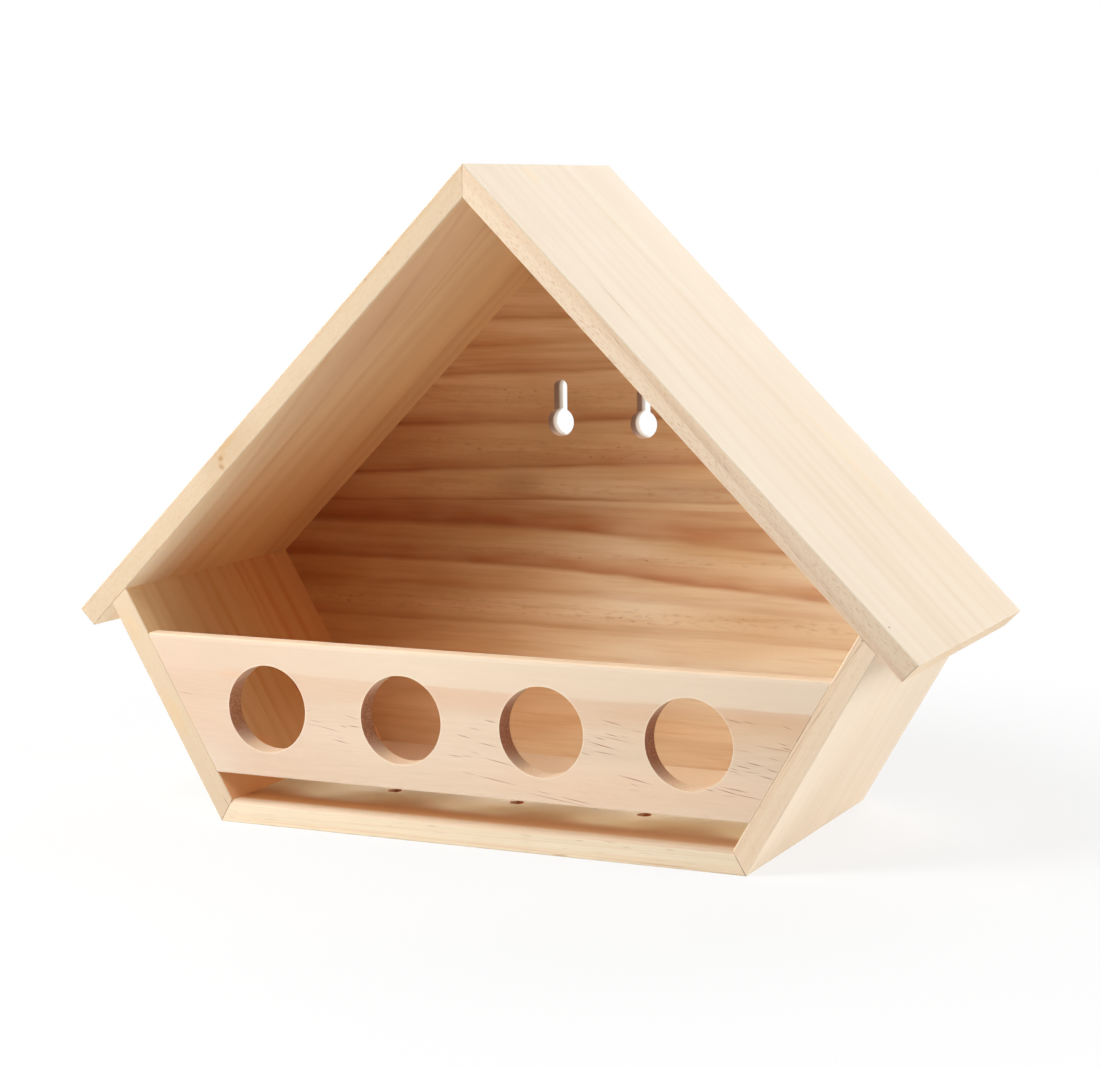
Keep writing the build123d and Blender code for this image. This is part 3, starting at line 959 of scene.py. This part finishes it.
def direction(azimuth, elevation):
    """The unit vector from the object to a place at that azimuth and height."""
    turn, rise = radians(azimuth), radians(elevation)
    return Vector((sin(turn) * cos(rise), -cos(turn) * cos(rise), sin(rise)))


def aim(thing, back):
    """Turns a camera or lamp so that it looks against a direction."""
    thing.rotation_mode = "QUATERNION"
    thing.rotation_quaternion = (-back).to_track_quat("-Z", "Y")


def make_camera():
    """The camera at the photograph's angle, looking at its target and rolled a little."""
    data = bpy.data.cameras.new("camera")
    data.sensor_width = SENSOR_WIDTH
    data.lens = SENSOR_WIDTH * FOCAL_PIXELS / IMAGE_WIDTH
    data.clip_start = 0.01
    data.clip_end = 100
    camera = new_object("camera", data)
    back = direction(CAMERA_AZIMUTH, CAMERA_ELEVATION)
    camera.location = (Vector(CAMERA_TARGET) + back * CAMERA_DISTANCE) * MM
    aim(camera, back)
    camera.rotation_quaternion @= Quaternion((0, 0, 1), radians(CAMERA_ROLL))
    bpy.context.scene.camera = camera


def make_lamp(name, azimuth, elevation, distance, size, level):
    """A square soft lamp aimed at the object. At level 1 a face turned to it shows its own colour."""
    data = bpy.data.lights.new(name, "AREA")
    data.shape = "SQUARE"
    data.size = size
    data.energy = level * pi ** 2 * distance ** 2
    lamp = new_object(name, data)
    back = direction(azimuth, elevation)
    lamp.location = back * distance + Vector((0, 0, LAMP_AIM_HEIGHT))
    aim(lamp, back)


def rays_seen(nodes):
    """1 for the rays that the camera sees straight or in gloss and glass, and 0 for the rays that light."""
    path = nodes.add("LightPath", {}, {}).outputs
    return nodes.any_of(path["Is Camera Ray"], path["Is Glossy Ray"], path["Is Transmission Ray"])


def make_world(level):
    """Even white light from all round, seen as plain white."""
    world = bpy.data.worlds.new("studio")
    bpy.context.scene.world = world
    nodes = cleared(world)
    strength = nodes.span(rays_seen(nodes), 0, 1, level, 1)
    shader = nodes.add("Background", {}, {"Color": (1, 1, 1, 1), "Strength": strength})
    nodes.add("OutputWorld", {}, {"Surface": shader.outputs[0]})


def make_floor(half_width, fade_from, fade_to, lift):
    """A pale studio floor, in metres, that keeps the object's shadow.

    It is white by a share, the lift, until the fade starts, and plain white from where the fade ends.
    """
    mesh = bpy.data.meshes.new("studio_floor")
    corners = [(x * half_width, y * half_width, 0) for x, y in ((-1, -1), (1, -1), (1, 1), (-1, 1))]
    mesh.from_pydata(corners, [], [(0, 1, 2, 3)])
    material = bpy.data.materials.new("studio_floor")
    nodes = cleared(material)
    away = nodes.vector("LENGTH", nodes.add("TexCoord", {}, {}).outputs["Object"])
    white = nodes.all_of(nodes.smooth(away, fade_from, fade_to, lift, 1), rays_seen(nodes))
    paint = nodes.add("BsdfDiffuse", {}, {"Color": (0.9, 0.9, 0.9, 1)})
    glow = nodes.add("Emission", {}, {"Color": (1, 1, 1, 1), "Strength": 1})
    shader = nodes.add("MixShader", {}, {0: white, 1: paint.outputs[0], 2: glow.outputs[0]})
    nodes.add("OutputMaterial", {}, {"Surface": shader.outputs[0]})
    mesh.materials.append(material)
    floor = new_object("studio_floor", mesh)


# Each lamp's azimuth, elevation, distance and size in metres, and level
LAMPS = {
    "key": (-31, 52, 1, 0.4, 0.38),
    "low": (-32, 26, 0.8, 0.3, 0.5),
    "graze": (-50, 8, 1.2, 0.3, 0.18),
    "right": (98, 12, 1.5, 1, 0.62),
    "left": (-92, 25, 1.5, 1, 0.2),
    "rear": (175, 35, 1.5, 1, 0.5),
}
LAMP_AIM_HEIGHT = 0.1

bpy.context.scene.view_settings.view_transform = "Standard"
make_camera()
make_world(level=0.09)
for lamp_name, setting in LAMPS.items():
    make_lamp(lamp_name, *setting)
make_floor(half_width=3, fade_from=0.16, fade_to=0.42, lift=0.74)
